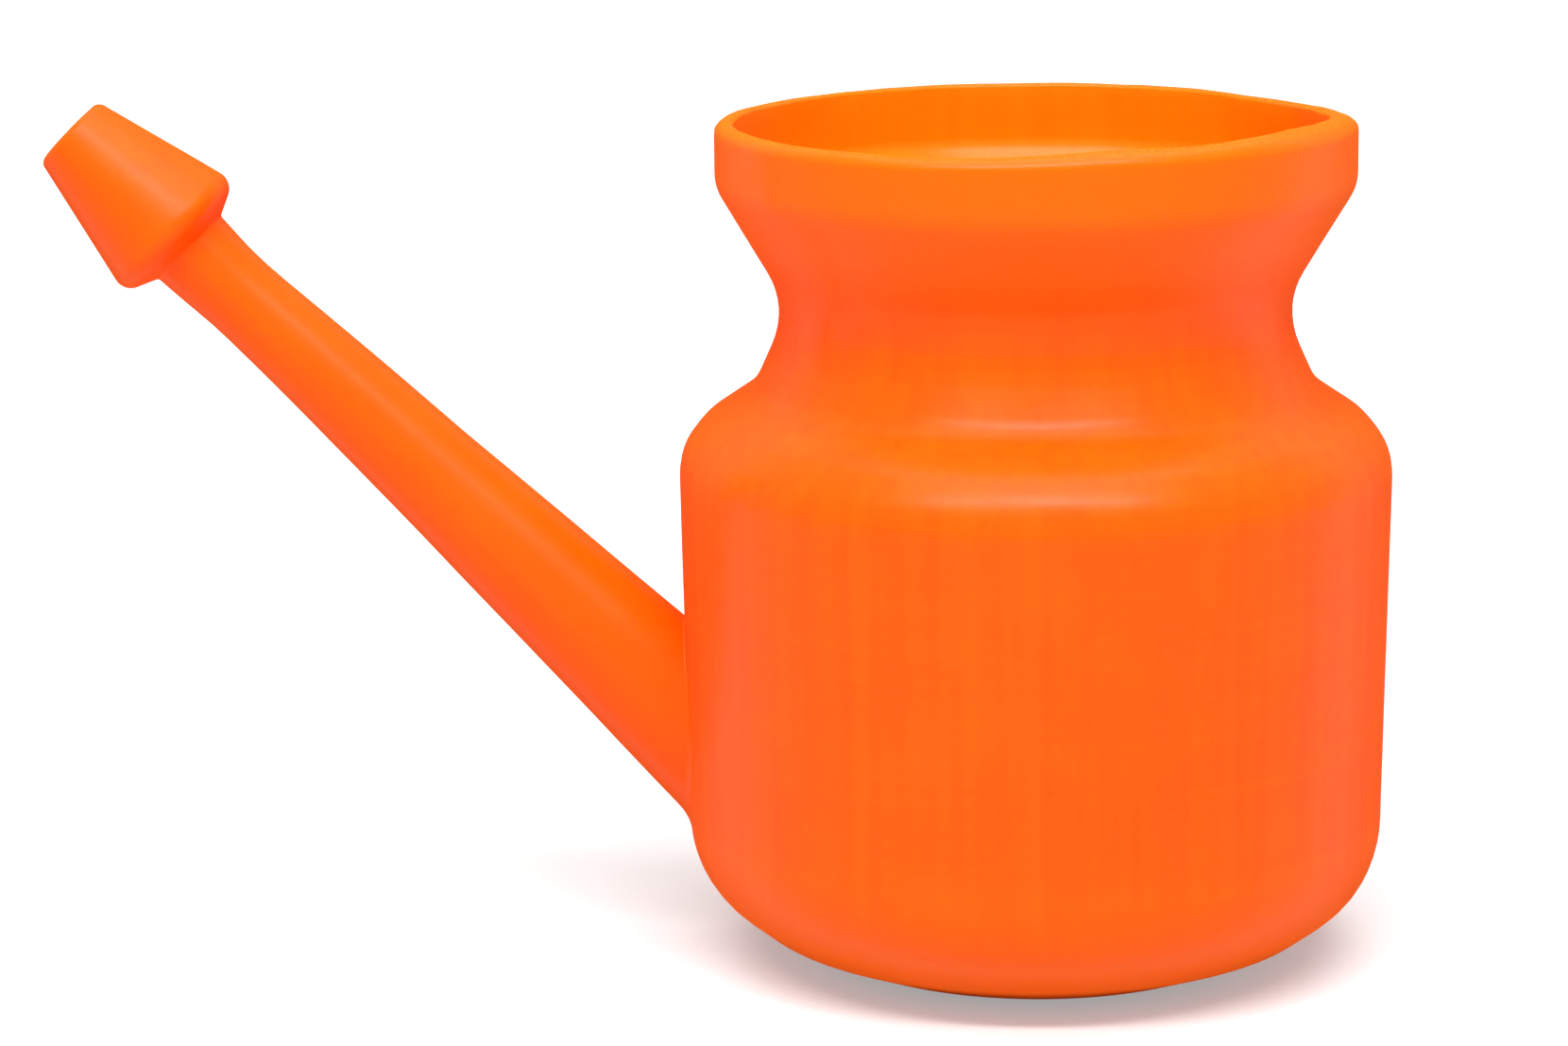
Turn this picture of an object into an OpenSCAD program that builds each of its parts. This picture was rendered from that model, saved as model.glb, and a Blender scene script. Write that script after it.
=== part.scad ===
// Neti pot: one hollow piece, moulded in soft polyethylene.
// A wide-mouthed pot with a waisted neck carries a long straight spout, which ends in a conical nozzle bulb.
// The inside of the pot, the spout and the bulb is one space, open at the mouth and at the nozzle's outlet.
// Millimetres, +Z up. The pot's axis is Z and it stands on Z = 0. The spout points to -X.
// Both sides of the plane Y = 0 are alike, because the two mould halves meet there.

/* [Base and body] */
// Depth of the push-up, the shallow recess under the base
push_up = 1.2; // [0.6:0.1:2]
// Diameter of the push-up's flat middle
push_up_diameter = 26; // [18:0.5:30]
// Inner diameter of the ring that the pot stands on
ring_diameter = 36; // [34:0.5:38]
// Diameter at which the base's underside starts to rise, before it is rounded
base_diameter = 49.4; // [47:0.5:56]
// Rounding between the standing ring and the heel
base_rounding = 19.2; // [12:0.5:22]
// Diameter at the middle of the heel
heel_diameter = 72; // [66:0.5:76]
// Height of the middle of the heel
heel_rise = 4.4; // [3.5:0.1:6]
// Rounding in the middle of the heel
heel_rounding = 5.7; // [4:0.1:8]
// Height of the whole heel, up to the foot of the side wall
heel_height = 11.5; // [9.5:0.5:14]
// Rounding between the heel and the side wall
foot_rounding = 14.3; // [9:0.5:16]
// How much narrower the side wall is at its foot than at the shoulder, on the radius
wall_draft = 1; // [0.5:0.1:2]
// Outside diameter at the shoulder, the widest place of the pot
body_diameter = 92; // [86:1:104]
// Height of the shoulder's corner over the ground
body_height = 67.1; // [60:0.5:80]

/* [Shoulder, neck and rim] */
// Rounding of the shoulder
shoulder_rounding = 9.1; // [5:0.1:10]
// How far the shoulder's slope starts inside the shoulder, on the radius
slope_step = 3.5; // [2.5:0.1:5]
// How far the shoulder's slope starts over the shoulder's corner
slope_rise = 4.1; // [3.5:0.1:6]
// Rounding where the slope starts
slope_rounding = 7.8; // [4:0.1:9]
// Outside diameter of the fold between shoulder and neck
fold_diameter = 72.2; // [70:0.5:76]
// How far the fold lies over the start of the slope
fold_rise = 4.3; // [3.5:0.1:6]
// Rounding in the fold
fold_rounding = 6.8; // [3:0.1:8]
// Outside diameter of the neck at its corner, before it is rounded
neck_diameter = 63.1; // [56:0.5:66]
// How far the neck's waist lies over the fold
neck_rise = 10; // [8:0.5:14]
// Rounding of the waist
neck_rounding = 10.9; // [6:0.1:13]
// How far the mouth flares upwards from the waist to the foot of the band
flare_rise = 15.9; // [12:0.5:22]
// Rounding at the foot of the band
band_rounding = 5.8; // [3:0.1:8]
// Height of the upright band round the mouth
band_height = 8; // [6:0.25:12]
// Outside diameter of the band
rim_diameter = 82; // [76:0.5:90]
// Thickness of the band, seen as the flat land on top of the rim
rim_land = 2.6; // [2.4:0.1:3.6]
// Rounding of the rim's outer edge
rim_edge = 1.5; // [0.8:0.1:1.7]
// Rounding of the rim's inner edge
mouth_edge = 0.5; // [0.2:0.1:0.6]

/* [Wall] */
// Thickness of the pot's wall
wall = 1.5; // [1.1:0.1:2]
// Thickness of the wall of the spout and the nozzle bulb
spout_wall = 1.4; // [1:0.1:1.8]
// Thickness of the nozzle's end face
face_wall = 1.6; // [1.2:0.1:2.4]

/* [Spout] */
// Angle between the spout and the ground
spout_angle = 44.1; // [40:0.5:48]
// Height at which the spout's axis leaves the side wall
root_height = 31.5; // [29:0.5:38]
// Length along the axis from the side wall to the nozzle's end face
spout_length = 110; // [96:1:124]
// Outside diameter of the spout at the side wall
root_diameter = 18.8; // [16:0.2:20]
// Outside diameter where the spout starts to widen faster
flare_diameter = 13.4; // [12:0.2:14.4]
// Distance of that place from the notch behind the bulb
flare_distance = 41.4; // [30:0.5:50]
// Outside diameter of the throat, the spout's thinnest place
throat_diameter = 10.5; // [9.4:0.1:11.4]
// Distance of the throat from the notch behind the bulb
throat_distance = 8.8; // [6:0.2:12]
// Lengthwise rounding of the throat
throat_rounding = 60; // [30:5:70]

/* [Nozzle bulb] */
// Length of the bulb from its end face to the notch behind it
nozzle_length = 21.4; // [18:0.5:26]
// Diameter of the end face, before its edge is rounded
tip_diameter = 10.8; // [10:0.2:12.4]
// Rounding of the end face's edge
tip_rounding = 1.2; // [0.6:0.1:1.5]
// Diameter of the outlet in the end face
outlet_diameter = 5.4; // [4:0.2:6]
// Diameter of the bulb at its widest corner, before it is rounded
bulb_diameter = 20.4; // [18:0.2:24]
// Rounding of the widest corner
bulb_rounding = 2.4; // [1.6:0.1:2.8]
// How far the bulb's back slopes from the widest corner to the notch
bulb_back = 2; // [1:0.1:3]
// Outside diameter at the notch between the bulb and the spout
notch_diameter = 11.6; // [11.6:0.1:13]
// Rounding in the notch
notch_rounding = 0.4; // [0.2:0.1:0.8]

/* [Hidden] */
// Sides of each circle in a preview. The circles themselves are true.
$fn = 144;
// How far a cutting form runs on past the face that it opens
overcut = 1;
// How many walls deep the spout's end reaches in past the side wall's outer face
through_walls = 3;
// Each disc that rounds a corner is this much larger than its rounding, so that it cuts its two sides cleanly
arc_lap = 0.004;
// Each rounding keeps to this share of the straight side that it shares with the next one
side_share = 0.98;
pot_orange = [1, 0.41, 0.09];

// The pot's outside
shoulder_r = body_diameter / 2;
foot_r = shoulder_r - wall_draft;
rim_r = rim_diameter / 2;
mouth_r = rim_r - rim_land;
slope_z = body_height + slope_rise;
fold_z = slope_z + fold_rise;
neck_z = fold_z + neck_rise;
band_z = neck_z + flare_rise;
pot_height = band_z + band_height;

// Corners of the pot's turned outside, from the base up: radius, height, rounding
pot_corners = [
    [0, push_up, 0],
    [push_up_diameter / 2, push_up, 2 * push_up],
    [ring_diameter / 2, 0, push_up],
    [base_diameter / 2, 0, base_rounding],
    [heel_diameter / 2, heel_rise, heel_rounding],
    [foot_r, heel_height, foot_rounding],
    [shoulder_r, body_height, shoulder_rounding],
    [shoulder_r - slope_step, slope_z, slope_rounding],
    [fold_diameter / 2, fold_z, fold_rounding],
    [neck_diameter / 2, neck_z, neck_rounding],
    [rim_r, band_z, band_rounding],
    [rim_r, pot_height, rim_edge]
];
// Wall thickness behind each side of that outline
pot_walls = [for (i = [2 : len(pot_corners)]) i < len(pot_corners) ? wall : rim_land];

// The spout's axis, from the side wall up to the end face
lean = wall_draft / (body_height - heel_height);
root_r = foot_r + lean * (root_height - heel_height);
face_x = -root_r - spout_length * cos(spout_angle);
face_z = root_height + spout_length * sin(spout_angle);

// The spout runs on through the side wall until the whole of its end is in the pot's hollow
root_depth = (root_diameter / 2 * sin(spout_angle) + through_walls * wall) / cos(spout_angle);
spout_end = spout_length + root_depth;
flare_u = nozzle_length + flare_distance;
taper = (root_diameter - flare_diameter) / 2 / (spout_length - flare_u);

// Corners of the turned outside of bulb and spout, from the end face down: radius, distance, rounding
spout_corners = [
    [0, 0, 0],
    [tip_diameter / 2, 0, tip_rounding],
    [bulb_diameter / 2, nozzle_length - bulb_back, bulb_rounding],
    [notch_diameter / 2, nozzle_length, notch_rounding],
    [throat_diameter / 2, nozzle_length + throat_distance, throat_rounding],
    [flare_diameter / 2, flare_u, 0],
    [root_diameter / 2 + taper * root_depth, spout_end, 0]
];
// Wall thickness behind each side of that outline
spout_walls = [for (i = [2 : len(spout_corners)]) i == 2 ? face_wall : spout_wall];

// An outline is a list of corners that runs anticlockwise. Each corner is a point and its rounding.

function point_of(corner) = [corner[0], corner[1]];

function unit_of(v) = v / norm(v);

function before(list, i) = list[(i + len(list) - 1) % len(list)];

function after(list, i) = list[(i + 1) % len(list)];

// Direction from corner a to corner b
function way(a, b) = unit_of(point_of(b) - point_of(a));

// Turn at corner i: positive to the left, where the outline sticks out
function turn_at(list, i) = cross(way(before(list, i), list[i]), way(list[i], after(list, i)));

// Half the angle between the two sides that meet in corner i
function half_angle(list, i) = acos(way(list[i], before(list, i)) * way(list[i], after(list, i))) / 2;

// How far from corner i its arc would start, at its full rounding
function full_reach(list, i) = list[i][2] <= 0 ? 0 : list[i][2] / tan(half_angle(list, i));

// Share of their full reach that the arcs in corners i and j have room for on the side between them
function room(list, i, j) =
    let (asked = full_reach(list, i) + full_reach(list, j), side = norm(point_of(list[j]) - point_of(list[i])))
    asked <= side_share * side ? 1 : side_share * side / asked;

// The rounding of corner i, kept to the length of its sides
function rounding_at(list, i) =
    let (n = len(list))
    list[i][2] * min(room(list, (i + n - 1) % n, i), room(list, i, (i + 1) % n));

// Where the arc in corner i meets the side towards its neighbour
function arc_end(list, i, neighbour) =
    point_of(list[i]) + way(list[i], neighbour) * rounding_at(list, i) / tan(half_angle(list, i));

// Centre of the arc in corner i
function arc_centre(list, i) =
    point_of(list[i]) + unit_of(way(list[i], before(list, i)) + way(list[i], after(list, i)))
        * rounding_at(list, i) / sin(half_angle(list, i));

// The points of corner i: the corner itself, or for a rounded one the two ends of its arc
function corner_points(list, i) =
    list[i][2] <= 0
        ? [point_of(list[i])]
        : [arc_end(list, i, before(list, i)), arc_end(list, i, after(list, i))];

// The side from corner a to corner b, moved to its left, as a point and a direction
function moved_side(a, b, distance) =
    let (d = way(a, b))
    [point_of(a) + distance * [-d[1], d[0]], d];

// Where two lines, each a point and a direction, cross
function crossing(p, q) = p[0] + p[1] * cross(q[0] - p[0], q[1]) / cross(p[1], q[1]);

// Corner i of the inside of a wall, where walls holds the thickness behind each side of the outline
function inner_corner(list, walls, i) =
    let (
        p = crossing(
            moved_side(list[i - 1], list[i], walls[i - 1]),
            moved_side(list[i], list[i + 1], walls[i])
        ),
        thinner = min(walls[i - 1], walls[i]),
        step = turn_at(list, i) > 0 ? -thinner : thinner
    )
    [p[0], p[1], list[i][2] <= 0 ? 0 : max(0, rounding_at(list, i) + step)];

// Fills an outline, with each rounded corner as a true arc. Rounded corners are first cut off straight.
// A round piece is then added to those that stick out, and taken from those that go in.
module rounded_outline(list) {
    rounded = [for (i = [0 : len(list) - 1]) if (list[i][2] > 0) i];
    difference() {
        union() {
            polygon([for (i = [0 : len(list) - 1]) each corner_points(list, i)]);
            for (i = rounded)
                if (turn_at(list, i) > 0) corner_piece(list, i);
        }
        for (i = rounded)
            if (turn_at(list, i) < 0) corner_piece(list, i);
    }
}

// The part of a disc that lies between the arc in corner i and a line a little past the arc's chord
module corner_piece(list, i) {
    p = arc_end(list, i, before(list, i));
    q = arc_end(list, i, after(list, i));
    past_chord = 0.75 * (p + q) - 0.5 * point_of(list[i]);
    intersection() {
        polygon([p, point_of(list[i]), q, past_chord]);
        translate(arc_centre(list, i))
            circle(r = rounding_at(list, i) + arc_lap);
    }
}

// The pot's turned outside, filled up to the axis
module pot_outside() {
    rotate_extrude()
        rounded_outline(concat(pot_corners, [[0, pot_height, 0]]));
}

// The pot's hollow, open over the rim with a rounded inner edge
module pot_hollow() {
    top = pot_height + overcut;
    inner = [for (i = [1 : len(pot_walls) - 1]) inner_corner(pot_corners, pot_walls, i)];
    mouth = [[mouth_r, pot_height, mouth_edge], [rim_r, pot_height, 0], [rim_r, top, 0], [0, top, 0]];
    rotate_extrude()
        rounded_outline(concat([[0, push_up + wall, 0]], inner, mouth));
}

// Lays a form that is turned about Z along the spout, from the end face down
module along_spout() {
    translate([face_x, 0, face_z])
        rotate([0, 90 + spout_angle, 0])
            children();
}

// The turned outside of the bulb and the spout, filled up to their axis
module spout_outside() {
    along_spout()
        rotate_extrude()
            rounded_outline(concat(spout_corners, [[0, spout_end, 0]]));
}

// The hollow of the bulb and the spout, with the outlet through the end face
module spout_hollow() {
    outlet_r = outlet_diameter / 2;
    end_u = spout_end + overcut;
    end_r = root_diameter / 2 + taper * (end_u - spout_length) - spout_wall * norm([1, taper]);
    outlet = [[0, -overcut, 0], [outlet_r, -overcut, 0], [outlet_r, face_wall, 0]];
    inner = [for (i = [1 : len(spout_walls) - 1]) inner_corner(spout_corners, spout_walls, i)];
    along_spout()
        rotate_extrude()
            rounded_outline(concat(outlet, inner, [[end_r, end_u, 0], [0, end_u, 0]]));
}

// The whole piece: pot, spout and bulb are one skin round one hollow
module pot() {
    color(pot_orange)
        difference() {
            union() {
                pot_outside();
                spout_outside();
            }
            pot_hollow();
            spout_hollow();
        }
}

pot();
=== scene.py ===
"""A neti pot, moulded in one hollow piece of orange polyethylene."""

import math

import bmesh
import bpy
import numpy as np
from mathutils import Matrix, Vector


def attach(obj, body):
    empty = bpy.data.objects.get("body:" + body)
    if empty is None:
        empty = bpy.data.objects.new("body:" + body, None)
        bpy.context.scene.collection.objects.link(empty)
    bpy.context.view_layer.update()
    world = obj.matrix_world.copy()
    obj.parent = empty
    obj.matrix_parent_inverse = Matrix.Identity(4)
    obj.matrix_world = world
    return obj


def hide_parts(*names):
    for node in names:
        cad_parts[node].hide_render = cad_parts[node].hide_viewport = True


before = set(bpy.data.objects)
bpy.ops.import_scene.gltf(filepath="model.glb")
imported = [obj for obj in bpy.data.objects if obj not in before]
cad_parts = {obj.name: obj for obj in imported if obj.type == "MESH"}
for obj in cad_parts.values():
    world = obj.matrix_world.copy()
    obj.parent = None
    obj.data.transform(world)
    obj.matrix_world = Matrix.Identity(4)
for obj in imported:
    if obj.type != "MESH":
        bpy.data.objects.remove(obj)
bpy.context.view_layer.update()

# Camera
# It stands 0.6 m in front of the pot and a little above it, with a long lens. Its place and turns were
# found by laying the pot's turned outline over the photograph's.

PHOTO_WIDTH = 1660
FOCAL_PIXELS = 5035.5
SENSOR_WIDTH = 36.0
EYE = Vector((0.00392, -0.603876, 0.184987))
YAW, PITCH, ROLL = -0.0603, 0.2089, -0.0103

ahead = Vector((math.sin(YAW) * math.cos(PITCH), math.cos(YAW) * math.cos(PITCH), -math.sin(PITCH)))
level = Vector((math.cos(YAW), -math.sin(YAW), 0))
above = level.cross(ahead)
to_right = math.cos(ROLL) * level + math.sin(ROLL) * above
upwards = math.cos(ROLL) * above - math.sin(ROLL) * level
lens = bpy.data.cameras.new("photo_camera")
lens.sensor_width = SENSOR_WIDTH
lens.lens = FOCAL_PIXELS * SENSOR_WIDTH / PHOTO_WIDTH
lens.clip_start, lens.clip_end = 0.05, 30
camera = bpy.data.objects.new("photo_camera", lens)
camera.matrix_world = Matrix.Translation(EYE) @ Matrix((to_right, upwards, -ahead)).transposed().to_4x4()
bpy.context.collection.objects.link(camera)
bpy.context.scene.camera = camera

# Pot, spout and nozzle bulb: the outlines
# One blown skin of polyethylene, the pot turned about Z and the spout about its own slanted axis. Both are
# straight lines with true arcs at the corners: (radius, place along the axis, rounding), in mm.

MM = 0.001
WALL, FUNNEL_WALL, RIM_LAND, SPOUT_WALL, FACE_WALL = 1.5, 2.2, 2.6, 1.4, 1.6
POT_HEIGHT = 109.4
MOUTH_EDGE = 0.5
POT_OUTLINE = [
    (0, 1.2, 0),
    (13, 1.2, 2.4),
    (18, 0, 1.2),
    (24.7, 0, 19.2),
    (36, 4.4, 5.7),
    (45, 11.5, 14.3),
    (46, 67.1, 9.1),
    (42.5, 71.2, 7.8),
    (36.1, 75.5, 6.8),
    (31.55, 85.5, 10.9),
    (41, 101.4, 5.8),
    (41, POT_HEIGHT, 1.5),
]
BASE, HEEL, SHOULDER, RIM = POT_OUTLINE[0], POT_OUTLINE[5], POT_OUTLINE[6], POT_OUTLINE[-1]
SPOUT_ANGLE = math.radians(44.1)
ROOT_HEIGHT, SPOUT_LENGTH = 31.5, 110.0
ROOT_RADIUS = 9.4
OUTLET_RADIUS, OUTLET_EDGE = 2.7, 0.35
FACE_RING = 1.0
THROAT_RADIUS, FLARE = 6.7, 62.8
SPOUT_OUTLINE = [
    (0, 0, 0),
    (5.4, 0, 1.2),
    (10.2, 19.4, 2.4),
    (5.8, 21.4, 0.4),
    (5.25, 30.2, 60),
    (THROAT_RADIUS, FLARE, 0),
    (ROOT_RADIUS, SPOUT_LENGTH, 0),
]
ARC_STEP = math.radians(7.5)
LONGEST_STEP = 1.9
FINE_STEPS = 4


def way(a, b):
    """Direction from corner a to corner b."""
    step = np.subtract(b[:2], a[:2]).astype(float)
    return step / np.linalg.norm(step)


def walled_in(corners, walls):
    """The corners of the inside of a wall, with the same arc centres as the outside's."""
    inside = []
    for i in range(1, len(corners) - 1):
        before, after = way(corners[i - 1], corners[i]), way(corners[i], corners[i + 1])
        left_before, left_after = np.array([-before[1], before[0]]), np.array([-after[1], after[0]])
        p = np.array(corners[i][:2]) + walls[i - 1] * left_before
        q = np.array(corners[i][:2]) + walls[i] * left_after
        along = np.linalg.solve(np.column_stack([before, -after]), q - p)
        meet = p + along[0] * before
        turn = before[0] * after[1] - before[1] * after[0]
        thinner = min(walls[i - 1], walls[i])
        rounding = corners[i][2] and max(0.0, corners[i][2] - math.copysign(thinner, turn))
        inside.append((meet[0], meet[1], rounding))
    return inside


def turned_line(corners):
    """Fine points along an outline with true arcs at its corners, and the numbers of those that get a row."""
    line, rows = [np.array(corners[0][:2], float)], [0]
    for i in range(1, len(corners)):
        corner, rounding = np.array(corners[i][:2], float), corners[i][2]
        arc = [corner]
        if rounding > 0 and i < len(corners) - 1:
            before, after = way(corners[i - 1], corners[i]), way(corners[i], corners[i + 1])
            turn = math.atan2(before[0] * after[1] - before[1] * after[0], before @ after)
            start = corner - rounding * math.tan(abs(turn) / 2) * before
            centre = start + math.copysign(rounding, turn) * np.array([-before[1], before[0]])
            spoke = start - centre
            square = np.array([-spoke[1], spoke[0]])
            steps = max(2, math.ceil(abs(turn) / ARC_STEP)) * FINE_STEPS
            angles = np.linspace(0, turn, steps + 1)
            arc = [centre + (spoke * math.cos(a) + square * math.sin(a)) for a in angles]
        gap = np.linalg.norm(arc[0] - line[-1])
        pieces = max(1, math.ceil(gap / LONGEST_STEP))
        straight = [line[-1] + (arc[0] - line[-1]) * k / pieces for k in range(1, pieces)]
        rows += range(len(line), len(line) + len(straight))
        line += straight
        rows += range(len(line), len(line) + len(arc), FINE_STEPS)
        line += arc
    return np.array(line), rows


pot_walls = [WALL] * (len(POT_OUTLINE) - 3) + [FUNNEL_WALL, RIM_LAND]
pot_inside = walled_in(POT_OUTLINE, pot_walls)
mouth = (RIM[0] - RIM_LAND, POT_HEIGHT, MOUTH_EDGE)
on_land = (RIM[0] - (RIM[2] + RIM_LAND - MOUTH_EDGE) / 2, POT_HEIGHT, 0)
outer_line = turned_line(POT_OUTLINE + [on_land])
inner_line = turned_line([on_land, mouth] + pot_inside[::-1] + [(0, BASE[1] + WALL, 0)])

# Pot's wall with its opening into the spout
# Where the spout leaves the side wall the grid of the turned wall has a window. Rings of faces run from the
# window's edge to the line where spout and wall meet, so the skin goes on from one to the other unbroken.

SIDES = 288
SEAM_COLUMNS = (0.24, 0.5)
WINDOW_COLUMNS, WINDOW_ROWS = 15, 26
WINDOW_LOW, WINDOW_HIGH = 12.6, 52.0
ROW_CLEARANCE = 0.4
WINDOW_RINGS, RING_SPREAD = 7, 1.15
BLEND_STEPS = 6
BLEND_ABOVE, BLEND_BELOW, BLEND_GROWTH = 0.35, 2.3, 1.5
BLEND_INSIDE = 0.5
PAST_ROOT, HALVINGS = 25.0, 40
SIDE_DEPTH, SIDE_TOP = 12, 60
TINY = 1e-9

column_step = 360 / SIDES
near_seam = [share * column_step for share in SEAM_COLUMNS]
half_columns = [0.0, *near_seam, *[k * column_step for k in range(1, SIDES // 2)]]
half_columns = sorted(half_columns + [180 - a for a in near_seam])
columns = np.radians(np.array([-a for a in half_columns[:0:-1]] + half_columns + [180.0]))
window_side = len([a for a in half_columns if 0 < a <= WINDOW_COLUMNS * column_step + TINY])
middle_column = len(half_columns) - 1

half_edge = 2 * WINDOW_COLUMNS + WINDOW_ROWS
near_seam = [share * 180 / half_edge for share in SEAM_COLUMNS]
half_around = [0.0, *near_seam, *[k * 180 / half_edge for k in range(1, half_edge)]]
half_around = np.array(sorted(half_around + [180 - a for a in near_seam]))
spout_angles = np.radians(np.concatenate([half_around, [180.0], 360 - half_around[:0:-1]]))

lean = (SHOULDER[0] - HEEL[0]) / (SHOULDER[1] - HEEL[1])
wall_at_root = HEEL[0] + lean * (ROOT_HEIGHT - HEEL[1])
down_spout = np.array([math.cos(SPOUT_ANGLE), 0, -math.sin(SPOUT_ANGLE)])
over_spout = np.array([math.sin(SPOUT_ANGLE), 0, math.cos(SPOUT_ANGLE)])
across_spout = np.array([0.0, 1.0, 0.0])
face_centre = np.array([-wall_at_root, 0, ROOT_HEIGHT]) - SPOUT_LENGTH * down_spout

# The bulb sits a degree steeper than the spout, and the throat behind it hangs a little low: (place, height)
BEND = [(0, 0.04), (13.4, -0.12), (21, -0.23), (26, -0.38), (32, -0.24), (40, -0.08), (48, 0), (200, 0)]
BEND_STEP, SOFT_STEPS, SOFT_WIDTH = 0.25, 24, 1.8
bend_u = np.arange(-10, 160, BEND_STEP)
bend_raw = np.interp(bend_u, [u for u, _ in BEND], [h for _, h in BEND])
bend_raw[bend_u < 0] = BEND[0][1] - bend_u[bend_u < 0] * (BEND[0][1] / BEND[1][0])
soft = np.exp(-0.5 * (np.arange(-SOFT_STEPS, SOFT_STEPS + 1) * BEND_STEP / SOFT_WIDTH) ** 2)
bend_h = np.convolve(np.pad(bend_raw, SOFT_STEPS, mode="edge"), soft / soft.sum(), mode="valid")
bend_slope = np.gradient(bend_h, bend_u)


def spout_point(angle, u, r):
    """A point on the spout: angle from its upper side, u along it from the end face, r off its axis."""
    angle, u, r = np.broadcast_arrays(angle, u, r)
    tilt = np.arctan(-np.interp(u, bend_u, bend_slope))[..., None]
    rise = np.interp(u, bend_u, bend_h)[..., None]
    over = np.cos(tilt) * over_spout + np.sin(tilt) * down_spout
    return (
        face_centre + u[..., None] * down_spout + rise * over_spout
        + (r * np.cos(angle))[..., None] * over + (r * np.sin(angle))[..., None] * across_spout
    )


def wall_point(line, lengths, angle, place):
    """A point on a turned wall: angle from the spout's side, place along the outline."""
    angle, place = np.broadcast_arrays(angle, place)
    r = np.interp(place, lengths, line[:, 0])
    z = np.interp(place, lengths, line[:, 1])
    return np.stack([-r * np.cos(angle), r * np.sin(angle), z], axis=-1)


def arc_lengths(line):
    """How far along an outline each of its points lies."""
    return np.concatenate([[0], np.cumsum(np.linalg.norm(np.diff(line, axis=0), axis=1))])


def height_table(line, values):
    """Heights of the side wall in rising order, each with the value of its row."""
    side = np.flatnonzero((line[:, 0] > SHOULDER[0] - SIDE_DEPTH) & (line[:, 1] < SIDE_TOP))
    order = np.argsort(line[side, 1])
    return line[side, 1][order], values[side][order]


def with_window(line, rows):
    """Places of a wall's rows along its outline, even ones in the window, and the number of its first row."""
    lengths = arc_lengths(line)
    ends = np.sort(np.interp([WINDOW_LOW, WINDOW_HIGH], *height_table(line, lengths)))
    rest = lengths[rows]
    rest = rest[(rest < ends[0] - ROW_CLEARANCE) | (rest > ends[1] + ROW_CLEARANCE)]
    places = np.sort(np.concatenate([rest, np.linspace(*ends, WINDOW_ROWS + 1)]))
    return places, int(np.searchsorted(places, ends[0] - TINY))


skin_parts = []


def add_part(grid, outside, closed, spout=0.0):
    """Keeps a grid of points, rows by columns. A closed one joins its last column to its first."""
    skin_parts.append((grid, outside, closed, spout))


def widening(wall):
    """Radius of the spout, or of its channel where wall is its thickness, behind the flare."""
    slope = (ROOT_RADIUS - THROAT_RADIUS) / (SPOUT_LENGTH - FLARE)
    return lambda u: THROAT_RADIUS + slope * (u - FLARE) - wall * math.hypot(1, slope)


def opened_wall(turned, outside, tube_radius_at, blend):
    """Adds a turned wall with its opening. Returns how far along the spout the opening's blend ends."""
    line, rows = turned
    lengths = arc_lengths(line)
    places, first = with_window(line, rows)
    last = first + WINDOW_ROWS
    grid = wall_point(line, lengths, columns[None, :], places[:, None])
    left, right = middle_column - window_side, middle_column + window_side
    add_part(grid[: first + 1], outside, True)
    add_part(grid[last:], outside, True)
    around_back = np.concatenate([grid[first : last + 1, right:], grid[first : last + 1, : left + 1]], axis=1)
    add_part(around_back, outside, False)

    upper_row, lower_row = (last, first) if grid[last, 0, 2] > grid[first, 0, 2] else (first, last)
    down = 1 if lower_row > upper_row else -1
    downwards = list(range(upper_row, lower_row + down, down))
    edge = [(c, upper_row) for c in range(middle_column, right)]
    edge += [(right, r) for r in downwards][:-1]
    edge += [(c, lower_row) for c in range(right, left, -1)]
    edge += [(left, r) for r in downwards[::-1]][:-1]
    edge += [(c, upper_row) for c in range(left, middle_column)]
    edge_plane = np.array([(columns[c] * SHOULDER[0], places[r]) for c, r in edge])

    low, high = np.full(len(spout_angles), FLARE), np.full(len(spout_angles), SPOUT_LENGTH + PAST_ROOT)
    for _ in range(HALVINGS):
        middle = (low + high) / 2
        p = spout_point(spout_angles, middle, tube_radius_at(middle))
        is_out = np.hypot(p[:, 0], p[:, 1]) > np.interp(p[:, 2], *height_table(line, line[:, 0]))
        low, high = np.where(is_out, middle, low), np.where(is_out, high, middle)
    meet = spout_point(spout_angles, low, tube_radius_at(low))
    meet_plane = np.column_stack([
        np.arctan2(meet[:, 1], -meet[:, 0]) * SHOULDER[0],
        np.interp(meet[:, 2], *height_table(line, lengths)),
    ])
    tangent = np.roll(meet_plane, -1, axis=0) - np.roll(meet_plane, 1, axis=0)
    normal = np.column_stack([tangent[:, 1], -tangent[:, 0]]) / np.linalg.norm(tangent, axis=1)[:, None]
    away = np.sign(np.sum(normal * (meet_plane - meet_plane.mean(axis=0)), axis=1))
    foot_plane = meet_plane + normal * (away * blend)[:, None]
    foot = wall_point(line, lengths, foot_plane[:, 0] / SHOULDER[0], foot_plane[:, 1])
    head_u = low - blend
    head = spout_point(spout_angles, head_u, tube_radius_at(head_u))
    t = np.linspace(0, 1, BLEND_STEPS + 1)[:, None, None]
    add_part((1 - t) ** 2 * foot + 2 * t * (1 - t) * meet + t**2 * head, outside, True, t.ravel())
    t = (np.linspace(0, 1, WINDOW_RINGS + 1) ** RING_SPREAD)[:, None, None]
    plane = (1 - t) * foot_plane + t * edge_plane
    add_part(wall_point(line, lengths, plane[..., 0] / SHOULDER[0], plane[..., 1]), outside, True)
    return head_u


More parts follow.
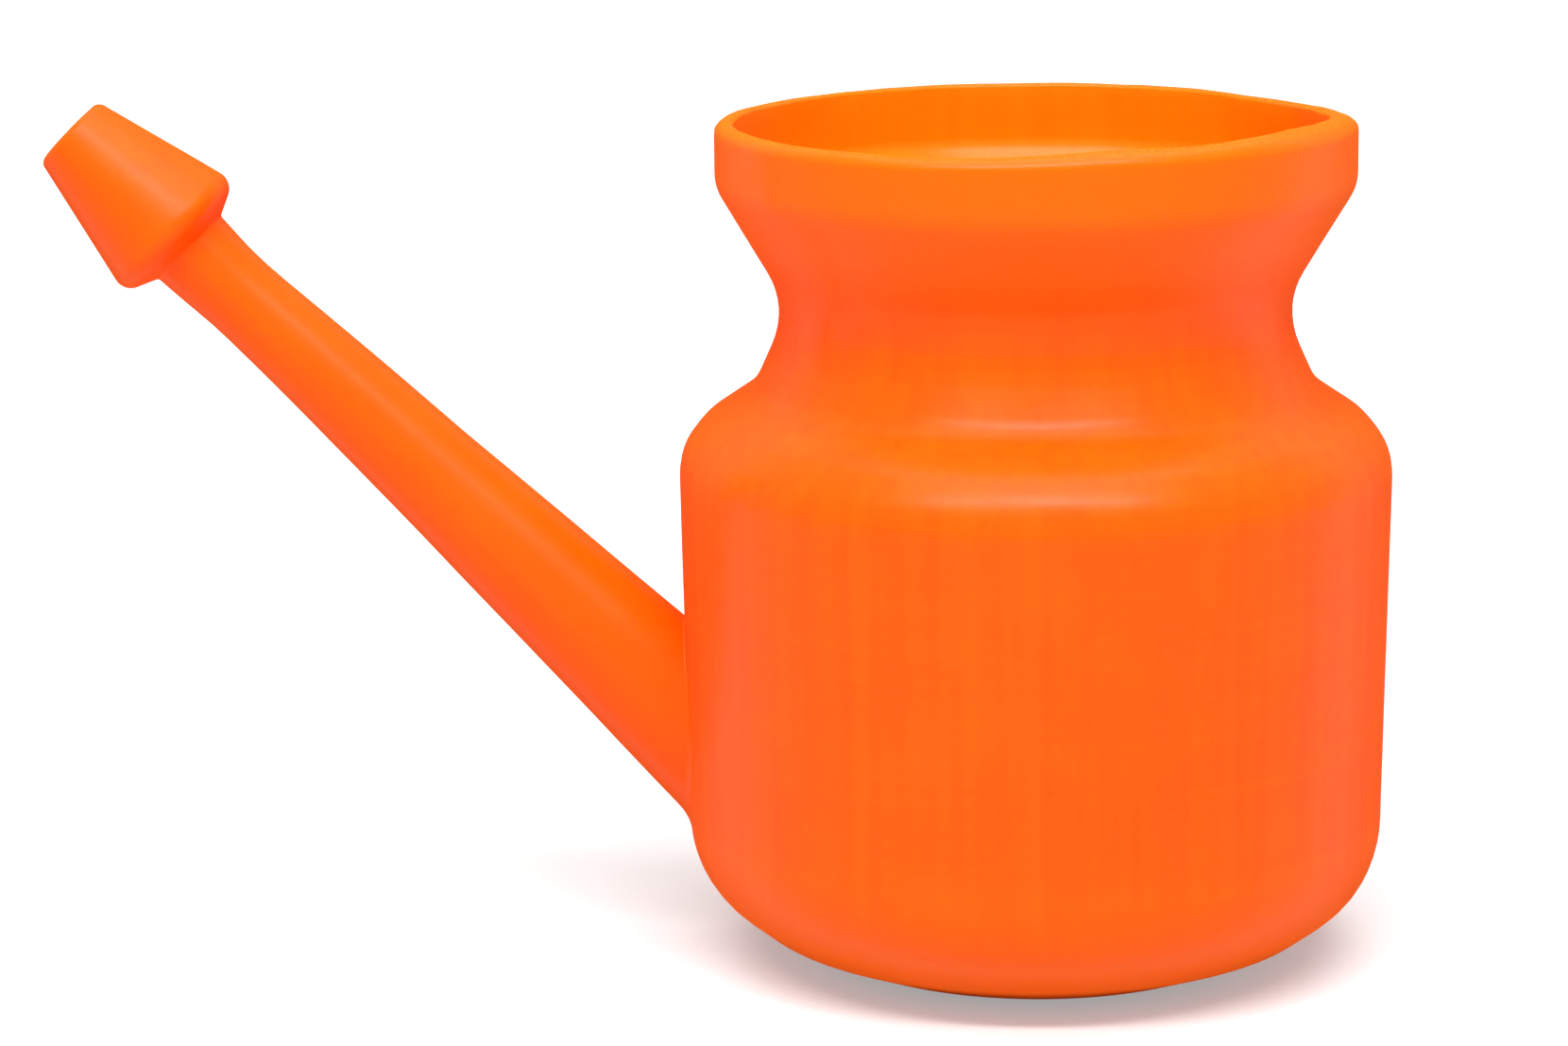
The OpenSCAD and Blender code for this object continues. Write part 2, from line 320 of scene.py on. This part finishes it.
under = (1 - np.cos(spout_angles)) / 2
outer_blend = BLEND_ABOVE + (BLEND_BELOW - BLEND_ABOVE) * under**BLEND_GROWTH
outer_head = opened_wall(outer_line, 1.0, widening(0), outer_blend)
inner_head = opened_wall(inner_line, 0.0, widening(SPOUT_WALL), BLEND_INSIDE)

# Spout and nozzle bulb
# The skin goes on up the spout, round the bulb, in through the outlet and back down the channel into the
# pot. All its parts are then merged into one closed mesh.

SPOUT_ROWS = 20
MERGE_WITHIN = 2e-6
SHARP_FROM = math.radians(38)

face_ring = (OUTLET_RADIUS + FACE_RING, 0, 0)
outlet_edge = (OUTLET_RADIUS, 0, OUTLET_EDGE)
outlet_end = (OUTLET_RADIUS, FACE_WALL, 0)
channel = walled_in(SPOUT_OUTLINE, [FACE_WALL] + [SPOUT_WALL] * (len(SPOUT_OUTLINE) - 2))
line, rows = turned_line([face_ring] + SPOUT_OUTLINE[1:6])
outside_rows = line[rows][::-1]
line, rows = turned_line([face_ring, outlet_edge, outlet_end] + channel)
outlet_rows = line[rows]


def drawn_out(head_u, tube_radius_at, end_u):
    """Rows of a straight stretch of the spout, from its end at the flare to the opening in the wall."""
    share = np.linspace(0, 1, SPOUT_ROWS + 1)[:, None]
    u = end_u + (head_u[None, :] - end_u) * share
    return spout_point(spout_angles[None, :], u, tube_radius_at(u))


add_part(drawn_out(outer_head, widening(0), FLARE)[::-1], 1.0, True, 1.0)
add_part(spout_point(spout_angles[None, :], outside_rows[:, 1:], outside_rows[:, :1]), 1.0, True, 1.0)
add_part(spout_point(spout_angles[None, :], outlet_rows[:, 1:], outlet_rows[:, :1]), 0.0, True, 1.0)
add_part(drawn_out(inner_head, widening(SPOUT_WALL), outlet_rows[-1, 1]), 0.0, True, 1.0)

points, faces, outsides, spouts = [], [], [], []
for grid, outside, closed, spout in skin_parts:
    rows, wide = grid.shape[:2]
    start = len(points)
    points.extend(grid.reshape(-1, 3) * MM)
    outsides.extend([outside] * rows * wide)
    spouts.extend(np.repeat(np.broadcast_to(spout, rows), wide))
    for row in range(start, start + (rows - 1) * wide, wide):
        for c in range(wide if closed else wide - 1):
            d = (c + 1) % wide
            faces.append((row + c, row + d, row + wide + d, row + wide + c))
mesh = bpy.data.meshes.new("pot_skin")
mesh.from_pydata([tuple(p) for p in points], [], faces)
mesh.attributes.new("outside", "FLOAT", "POINT").data.foreach_set("value", outsides)
mesh.attributes.new("spout", "FLOAT", "POINT").data.foreach_set("value", spouts)
skin = bmesh.new()
skin.from_mesh(mesh)
bmesh.ops.remove_doubles(skin, verts=skin.verts, dist=MERGE_WITHIN)
bmesh.ops.recalc_face_normals(skin, faces=skin.faces)
for face in skin.faces:
    face.smooth = True
for edge in skin.edges:
    edge.smooth = edge.calc_face_angle(0) < SHARP_FROM
skin.to_mesh(mesh)
skin.free()
pot = bpy.data.objects.new("pot_skin", mesh)
bpy.context.collection.objects.link(pot)

# Material: orange polyethylene
# Waxy, satin and pigmented through. The pigment is a little uneven, the flow left faint streaks and the
# turned mould faint rings. Band, heel and inside are painted a little brighter, a painted glow for light that
# shines through the thin wall, and the cut land is paler and dull.

MOTTLE_SIZE, GRAIN_SIZE, PEEL_SIZE = 0.011, 0.0005, 0.0028
STREAK_WIDTH, STREAK_LENGTH = 0.0022, 0.06
RING_WIDTH, RING_LENGTH = 0.0009, 0.05
MOTTLE_SHARE, STREAK_SHARE, RING_SHARE = 0.35, 0.45, 0.2
NOISE_LOW, NOISE_HIGH = 0.35, 0.65
OUTSIDE_COLOURS = (1.0, 0.082, 0.0, 1), (1.0, 0.101, 0.0, 1)
SPOUT_COLOURS = (1.0, 0.086, 0.0, 1), (1.0, 0.096, 0.0, 1)
# The inside colours are lighter and yellower than the outside's: painted light, for light that falls in at
# the mouth and shines through the back wall
INSIDE_PAINTED_GLOW_COLOURS = (1.0, 0.165, 0.0, 1), (1.0, 0.182, 0.001, 1)
CUT_COLOURS = (1.0, 0.11, 0.0, 1), (1.0, 0.14, 0.003, 1)
# The band colour is a painted glow, for light that falls into the mouth and shines out through the wall under
# the rim
BAND_PAINTED_GLOW_COLOUR, HEEL_PAINTED_GLOW_COLOUR, SCUFF_COLOUR = (1.0, 0.117, 0.0, 1), (1.0, 0.128, 0.0, 1), (1.0, 0.2, 0.06, 1)
BAND_PAINTED_GLOW_FROM, BAND_PAINTED_GLOW_FULL = 0.086, 0.096
# The heel colour over this height range is a painted glow, for light from the floor that shines through the
# heel's wall
HEEL_PAINTED_GLOW_FROM, HEEL_PAINTED_GLOW_FULL = 0.022, 0.005
CUT_GRAIN_LOW, CUT_GRAIN_HIGH = 0.4, 0.6
SCUFF_HEIGHT, SCUFF_SHARE = 0.003, 0.5
SCUFF_GRAIN_LOW, SCUFF_GRAIN_HIGH = 0.5, 0.62
SATIN_LOW, SATIN_HIGH = 0.27, 0.33
CUT_DULLER, SPOUT_DULLER, SCUFF_DULLER = 0.1, 0.07, 0.2
EDGE_DULLER, EDGE_FROM, EDGE_FULL = 0.6, 0.45, 0.85
PEEL_HEIGHT, RING_HEIGHT, GRAIN_HEIGHT, CUT_HEIGHT = 4e-6, 7e-7, 3e-7, 4e-6

plastic = bpy.data.materials.new("orange_polyethylene")
plastic.use_nodes = True
nodes = plastic.node_tree.nodes
shader = nodes["Principled BSDF"]


def wire(value, target):
    """Sets an input of a node to a number or vector, or links another node's output to it."""
    if isinstance(value, bpy.types.NodeSocket):
        target.id_data.links.new(value, target)
    else:
        target.default_value = value


def carried(attribute):
    """A value that the skin's points carry."""
    node = nodes.new("ShaderNodeAttribute")
    node.attribute_name = attribute
    return node.outputs["Fac"]


def noise(sizes, detail=1.0, turn=0.0, start=0.0):
    """Noise from 0 to 1 over the object, of the given sizes along X, Y and Z after a turn about Y."""
    turned = nodes.new("ShaderNodeVectorRotate")
    turned.rotation_type = "Y_AXIS"
    wire(place, turned.inputs["Vector"])
    wire(turn, turned.inputs["Angle"])
    stretched = nodes.new("ShaderNodeMapping")
    wire(turned.outputs["Vector"], stretched.inputs["Vector"])
    stretched.inputs["Location"].default_value = (start, start, start)
    stretched.inputs["Scale"].default_value = [1 / size for size in sizes]
    node = nodes.new("ShaderNodeTexNoise")
    wire(stretched.outputs["Vector"], node.inputs["Vector"])
    node.inputs["Scale"].default_value = 1.0
    node.inputs["Detail"].default_value = detail
    return node.outputs["Fac"]


def between(value, low, high, from_low=0.0, from_high=1.0, easing="LINEAR"):
    """Maps a value to the range from low to high, and keeps it there."""
    node = nodes.new("ShaderNodeMapRange")
    node.interpolation_type = easing
    limits = {"From Min": from_low, "From Max": from_high, "To Min": low, "To Max": high}
    for name, v in {"Value": value, **limits}.items():
        wire(v, node.inputs[name])
    return node.outputs["Result"]


def maths(operation, *values):
    """A math node. Each value is a number or another node's output."""
    node = nodes.new("ShaderNodeMath")
    node.operation = operation
    for value, target in zip(values, node.inputs):
        wire(value, target)
    return node.outputs["Value"]


def weighed(*pairs):
    """The sum of several values, each times its share."""
    result = 0.0
    for value, share in pairs:
        result = maths("MULTIPLY_ADD", value, share, result)
    return result


def blend_colour(share, first, second):
    """The first colour where the share is 0 and the second where it is 1."""
    node = nodes.new("ShaderNodeMix")
    node.data_type = "RGBA"
    wire(share, node.inputs["Factor"])
    wire(first, node.inputs["A"])
    wire(second, node.inputs["B"])
    return node.outputs["Result"]


place = nodes.new("ShaderNodeTexCoord").outputs["Object"]
apart = nodes.new("ShaderNodeSeparateXYZ")
wire(place, apart.inputs["Vector"])
height = apart.outputs["Z"]
land, on_spout, outside = carried("land"), carried("spout"), carried("outside")

mottle = noise([MOTTLE_SIZE] * 3, detail=2)
along_spout = maths("MULTIPLY", on_spout, math.pi / 2 - SPOUT_ANGLE)
streaks = noise((STREAK_WIDTH, STREAK_WIDTH, STREAK_LENGTH), turn=along_spout, start=10)
rings = noise((RING_LENGTH, RING_LENGTH, RING_WIDTH), start=30)
peel = noise([PEEL_SIZE] * 3, start=40)
grain = noise([GRAIN_SIZE] * 3, start=50)

uneven = weighed((mottle, MOTTLE_SHARE), (streaks, STREAK_SHARE), (rings, RING_SHARE))
patchy = between(uneven, 0, 1, NOISE_LOW, NOISE_HIGH)
outer = blend_colour(on_spout, blend_colour(patchy, *OUTSIDE_COLOURS), blend_colour(patchy, *SPOUT_COLOURS))
# Painted glow: from 86 mm up, the pot's outside turns to the brighter band colour, for light shining through
# the wall
painted_band_glow = maths("SUBTRACT", between(height, 0, 1, BAND_PAINTED_GLOW_FROM, BAND_PAINTED_GLOW_FULL), on_spout)
outer = blend_colour(painted_band_glow, outer, BAND_PAINTED_GLOW_COLOUR)
# Painted glow: low down, the outside turns to the brighter heel colour, for light from the floor
outer = blend_colour(between(height, 0, 1, HEEL_PAINTED_GLOW_FROM, HEEL_PAINTED_GLOW_FULL), outer, HEEL_PAINTED_GLOW_COLOUR)
# Painted light: the inside of the skin takes the lighter inside colours
colour = blend_colour(outside, blend_colour(patchy, *INSIDE_PAINTED_GLOW_COLOURS), outer)
cut = blend_colour(between(grain, 0, 1, CUT_GRAIN_LOW, CUT_GRAIN_HIGH), *CUT_COLOURS)
colour = blend_colour(land, colour, cut)
scuff_grain = between(grain, 0, 1, SCUFF_GRAIN_LOW, SCUFF_GRAIN_HIGH)
scuffed = maths("MULTIPLY", between(height, 1, 0, 0, SCUFF_HEIGHT), scuff_grain)
colour = blend_colour(maths("MULTIPLY", scuffed, SCUFF_SHARE), colour, SCUFF_COLOUR)
wire(colour, shader.inputs["Base Color"])

# Near the silhouette the gloss is duller, as the fine texture hides its own shine there
facing = nodes.new("ShaderNodeLayerWeight").outputs["Facing"]
satin = between(weighed((mottle, 0.5), (peel, 0.5)), SATIN_LOW, SATIN_HIGH, NOISE_LOW, NOISE_HIGH)
satin = maths("ADD", satin, between(facing, 0, EDGE_DULLER, EDGE_FROM, EDGE_FULL))
duller = weighed((land, CUT_DULLER), (on_spout, SPOUT_DULLER), (scuffed, SCUFF_DULLER))
wire(maths("ADD", satin, duller), shader.inputs["Roughness"])
shader.inputs["Specular IOR Level"].default_value = 0.115
shader.inputs["Subsurface Weight"].default_value = 0.15
shader.inputs["Subsurface Radius"].default_value = (0.3, 1.0, 0.1)
shader.inputs["Subsurface Scale"].default_value = 0.004

grain_height = between(land, GRAIN_HEIGHT, CUT_HEIGHT)
bump = nodes.new("ShaderNodeBump")
bump.inputs["Distance"].default_value = 1.0
wire(weighed((peel, PEEL_HEIGHT), (rings, RING_HEIGHT), (grain, grain_height)), bump.inputs["Height"])
wire(bump.outputs["Normal"], shader.inputs["Normal"])

# Trimmed rim, parting line and uneven wall
# The mouth was trimmed with a knife, so its land rises and tips on one side and dips on another. The mould
# halves left a fine ridge and a pinched-off seam under the base, and a blown wall is never quite even.

MOULDING = {
    "Rim height": POT_HEIGHT * MM,
    "Rim radius": RIM[0] * MM,
    "Land": RIM_LAND * MM,
    "Depth that the trim moves": 0.0085,
    "Rise of the cut": 0.00045,
    "Tip of the land": 0.0005,
    "Lump": 0.00065,
    "Dip": 0.0005,
    "Waves of the cut": 0.00009,
    "Waves of the inner edge": 0.00012,
    "Thicker side": 0.001,
    "Parting ridge": 0.00006,
    "Half width of the ridge": 0.00035,
    "Pinched seam": 0.0004,
    "Half length of the seam": 0.0105,
    "Swell of the heel": 0.00025,
    "Unevenness": 0.00011,
    "Reach of the unevenness": 0.018,
    "Seed": 7.0,
}
RISE_FROM, RISE_FULL, RISE_LASTS, RISE_ENDS = (math.radians(a) for a in (-108, -74, -12, 14))
LUMP_AT, LUMP_WIDTH = math.radians(-33), math.radians(15)
DIP_AT, DIP_WIDTH = math.radians(38), math.radians(18)
THICK_AT, THICK_WIDTH = math.radians(-4), math.radians(36)
WAVE_REACH, EDGE_WAVE_REACH = 0.012, 0.008
FINE_WAVE_REACH, FINE_WAVE_SHARE = 0.0035, 0.35
RIDGE_FROM, RIDGE_FULL, RIDGE_UNDER_RIM = 0.0003, 0.001, 0.0012
SEAM_FOOT, SEAM_CREST, SEAM_TAPER = 0.0009, 0.0004, 0.85
SEAM_TOP, SEAM_FULL = 0.003, 0.002
SEAM_CHANGE_REACH, SEAM_CHANGE, SEAM_MEAN = 0.002, 0.2, 0.9
SWELL_AT, SWELL_TALL, SWELL_FULL = 0.0085, 0.004, 0.003
SWELL_WIDE = 0.9
HOLLOW_FROM, HOLLOW_FULL = 0.001, 0.006
LAND_DEPTH = 0.0004
NEAR_AXIS = 0.001

tree = bpy.data.node_groups.new("moulded_and_trimmed", "GeometryNodeTree")
tree.interface.new_socket("Skin", in_out="INPUT", socket_type="NodeSocketGeometry")
tree.interface.new_socket("Skin", in_out="OUTPUT", socket_type="NodeSocketGeometry")
identifiers = {}
for name, kind in {**dict.fromkeys(MOULDING, "NodeSocketFloat"), "Plastic": "NodeSocketMaterial"}.items():
    identifiers[name] = tree.interface.new_socket(name, in_out="INPUT", socket_type=kind).identifier
nodes = tree.nodes
given = nodes.new("NodeGroupInput").outputs


def product(*values):
    """The product of several values."""
    result = values[0]
    for value in values[1:]:
        result = maths("MULTIPLY", result, value)
    return result


def total(*values):
    """The sum of several values."""
    result = values[0]
    for value in values[1:]:
        result = maths("ADD", result, value)
    return result


def fade(value, start, end):
    """0 at the start and 1 at the end, with a soft turn at both."""
    return between(value, 0.0, 1.0, start, end, "SMOOTHSTEP")


def towards_rim(depth):
    """0 at a depth under the rim and 1 at the rim."""
    return fade(z, maths("SUBTRACT", given["Rim height"], depth), given["Rim height"])


def hump(value, centre, wide):
    """1 at the centre, falling off to both sides like a bell."""
    off = maths("DIVIDE", maths("SUBTRACT", value, centre), wide)
    return maths("EXPONENT", product(off, off, -1.0))


def ripple(reach, step):
    """Random values from -1 to 1 that change over the given reach."""
    node = nodes.new("ShaderNodeTexNoise")
    node.noise_dimensions = "4D"
    wire(point, node.inputs["Vector"])
    wire(maths("ADD", given["Seed"], step), node.inputs["W"])
    wire(maths("DIVIDE", 1.0, reach), node.inputs["Scale"])
    node.inputs["Detail"].default_value = 1.0
    return maths("MULTIPLY_ADD", node.outputs["Fac"], 4.0, -2.0)


def vector_maths(operation, *values):
    """A vector math node. Each value is a number, a vector or another node's output."""
    node = nodes.new("ShaderNodeVectorMath")
    node.operation = operation
    for value, target in zip(values, [socket for socket in node.inputs if socket.enabled]):
        wire(value, target)
    return [socket for socket in node.outputs if socket.enabled][0]


def named(attribute):
    """A value that the skin's points carry, as the tree reads it."""
    node = nodes.new("GeometryNodeInputNamedAttribute")
    node.data_type = "FLOAT"
    node.inputs["Name"].default_value = attribute
    return node.outputs["Attribute"]


point = nodes.new("GeometryNodeInputPosition").outputs["Position"]
apart = nodes.new("ShaderNodeSeparateXYZ")
wire(point, apart.inputs["Vector"])
x, y, z = apart.outputs
off_plane = maths("ABSOLUTE", y)
radius = maths("SQRT", total(product(x, x), product(y, y)))
angle = maths("ARCTAN2", y, x)
on_outside, on_pot = named("outside"), maths("SUBTRACT", 1.0, named("spout"))

near_rim = product(on_pot, towards_rim(given["Depth that the trim moves"]))
across = maths("DIVIDE", maths("SUBTRACT", given["Rim radius"], radius), given["Land"])
across = maths("MINIMUM", maths("MAXIMUM", across, 0.0), 1.0)
raised = product(fade(angle, RISE_FROM, RISE_FULL), fade(angle, RISE_ENDS, RISE_LASTS))
lump = product(hump(angle, LUMP_AT, LUMP_WIDTH), given["Lump"])
tipped = total(product(raised, given["Tip of the land"]), lump)
up = total(
    product(raised, given["Rise of the cut"]),
    product(across, tipped),
    product(hump(angle, DIP_AT, DIP_WIDTH), given["Dip"], -1.0),
    product(ripple(WAVE_REACH, step=1.0), given["Waves of the cut"]),
    product(ripple(FINE_WAVE_REACH, step=2.0), given["Waves of the cut"], FINE_WAVE_SHARE),
)
edge_moves = total(
    product(ripple(EDGE_WAVE_REACH, step=3.0), given["Waves of the inner edge"]),
    product(hump(angle, THICK_AT, THICK_WIDTH), given["Thicker side"], -1.0),
)
outwards = product(near_rim, across, edge_moves)

ridge = product(
    fade(off_plane, given["Half width of the ridge"], 0.0),
    given["Parting ridge"],
    fade(z, RIDGE_FROM, RIDGE_FULL),
    maths("SUBTRACT", 1.0, product(on_pot, towards_rim(RIDGE_UNDER_RIM))),
)
seam_end = given["Half length of the seam"]
seam = product(
    fade(off_plane, SEAM_FOOT, SEAM_CREST),
    fade(maths("ABSOLUTE", x), seam_end, product(seam_end, SEAM_TAPER)),
    fade(z, SEAM_TOP, SEAM_FULL),
    given["Pinched seam"],
    maths("MULTIPLY_ADD", ripple(SEAM_CHANGE_REACH, step=4.0), SEAM_CHANGE, SEAM_MEAN),
)
swell = product(
    hump(z, SWELL_AT, SWELL_TALL),
    hump(angle, 0.0, SWELL_WIDE),
    given["Swell of the heel"],
    fade(z, 0.0, SWELL_FULL),
)
hollows = product(
    maths("MULTIPLY_ADD", ripple(given["Reach of the unevenness"], step=5.0), 0.5, -0.5),
    given["Unevenness"],
    fade(z, HOLLOW_FROM, HOLLOW_FULL),
)
along_normal = product(on_outside, total(ridge, seam, product(on_pot, swell), hollows))

normal = nodes.new("GeometryNodeInputNormal").outputs[0]
level_way = nodes.new("ShaderNodeCombineXYZ")
for coordinate, name in ((x, "X"), (y, "Y")):
    wire(maths("DIVIDE", coordinate, maths("MAXIMUM", radius, NEAR_AXIS)), level_way.inputs[name])
shift = vector_maths("SCALE", normal, along_normal)
shift = vector_maths("ADD", shift, vector_maths("SCALE", level_way.outputs["Vector"], outwards))
shift = vector_maths("ADD", shift, vector_maths("SCALE", (0.0, 0.0, 1.0), product(near_rim, up)))

cut_face = nodes.new("GeometryNodeStoreNamedAttribute")
cut_face.data_type, cut_face.domain = "FLOAT", "POINT"
cut_face.inputs["Name"].default_value = "land"
wire(given["Skin"], cut_face.inputs["Geometry"])
wire(product(on_pot, towards_rim(LAND_DEPTH)), cut_face.inputs["Value"])
moved = nodes.new("GeometryNodeSetPosition")
wire(cut_face.outputs["Geometry"], moved.inputs["Geometry"])
wire(shift, moved.inputs["Offset"])
realized = nodes.new("GeometryNodeRealizeInstances")
wire(moved.outputs["Geometry"], realized.inputs["Geometry"])
dressed = nodes.new("GeometryNodeSetMaterial")
wire(realized.outputs["Geometry"], dressed.inputs["Geometry"])
wire(given["Plastic"], dressed.inputs["Material"])
wire(dressed.outputs["Geometry"], nodes.new("NodeGroupOutput").inputs["Skin"])

moulding = pot.modifiers.new("moulding", "NODES")
moulding.node_group = tree
for name, value in {**MOULDING, "Plastic": plastic}.items():
    moulding[identifiers[name]] = value
evaluated = pot.evaluated_get(bpy.context.evaluated_depsgraph_get())
even_skin = pot.data
pot.data = bpy.data.meshes.new_from_object(evaluated)
pot.modifiers.clear()
bpy.data.meshes.remove(even_skin)

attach(pot, "root")
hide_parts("pot")

# Floor and light
# A white floor that keeps the pot's soft shadow, and an even white surround. A wide, low lamp stands high in
# front for the highlights and a larger one hangs overhead. The camera sees the floor lifted towards white.

FLOOR_HALF = 6.0
FLOOR_GREY, FLOOR_ROUGHNESS = 0.55, 0.9
LIFT_STARTS, LIFT_FULL = 0.12, 0.6
LIFT_NEAR, LIFT_FAR = 0.35, 0.8
SURROUND_LIGHT, SURROUND_SEEN = 0.42, 1.0
LAMPS_AIM = Vector((0, 0, 0.06))

left_front, right_front = (-FLOOR_HALF, -FLOOR_HALF, 0), (FLOOR_HALF, -FLOOR_HALF, 0)
right_back, left_back = (FLOOR_HALF, FLOOR_HALF, 0), (-FLOOR_HALF, FLOOR_HALF, 0)
floor_mesh = bpy.data.meshes.new("floor")
floor_mesh.from_pydata([left_front, right_front, right_back, left_back], [], [(0, 1, 2, 3)])
floor = bpy.data.objects.new("floor", floor_mesh)
bpy.context.collection.objects.link(floor)


def seen_directly():
    """1 for rays from the camera, a reflection or a clear piece, and 0 for those that carry light."""
    light_path = nodes.new("ShaderNodeLightPath").outputs
    either = maths("MAXIMUM", light_path["Is Camera Ray"], light_path["Is Glossy Ray"])
    return maths("MAXIMUM", either, light_path["Is Transmission Ray"])


floor_material = bpy.data.materials.new("white_floor")
floor_material.use_nodes = True
nodes = floor_material.node_tree.nodes
floor_shader = nodes["Principled BSDF"]
floor_shader.inputs["Base Color"].default_value = (FLOOR_GREY, FLOOR_GREY, FLOOR_GREY, 1)
floor_shader.inputs["Roughness"].default_value = FLOOR_ROUGHNESS
floor_shader.inputs["Specular IOR Level"].default_value = 0.0
floor_shader.inputs["Emission Color"].default_value = (1, 1, 1, 1)
far_off = vector_maths("LENGTH", nodes.new("ShaderNodeTexCoord").outputs["Object"])
lift = between(far_off, LIFT_NEAR, LIFT_FAR, LIFT_STARTS, LIFT_FULL, "SMOOTHSTEP")
wire(maths("MULTIPLY", seen_directly(), lift), floor_shader.inputs["Emission Strength"])
floor_mesh.materials.append(floor_material)

world = bpy.data.worlds.new("surround")
bpy.context.scene.world = world
world.use_nodes = True
nodes = world.node_tree.nodes
surround = nodes["Background"]
surround.inputs["Color"].default_value = (1, 1, 1, 1)
wire(between(seen_directly(), SURROUND_LIGHT, SURROUND_SEEN), surround.inputs["Strength"])


def soft_lamp(name, at, wide, tall, power):
    """A rectangular soft lamp that faces the pot's middle."""
    data = bpy.data.lights.new(name, "AREA")
    data.shape, data.size, data.size_y, data.energy = "RECTANGLE", wide, tall, power
    lamp = bpy.data.objects.new(name, data)
    lamp.location = at
    lamp.rotation_euler = (LAMPS_AIM - Vector(at)).to_track_quat("-Z", "Y").to_euler()
    bpy.context.collection.objects.link(lamp)


soft_lamp("lamp_front", at=(0.0, -0.66, 0.96), wide=1.2, tall=0.17, power=16.5)
soft_lamp("lamp_over", at=(0.0, -0.08, 1.15), wide=1.1, tall=0.95, power=11)

bpy.context.scene.view_settings.view_transform = "Standard"
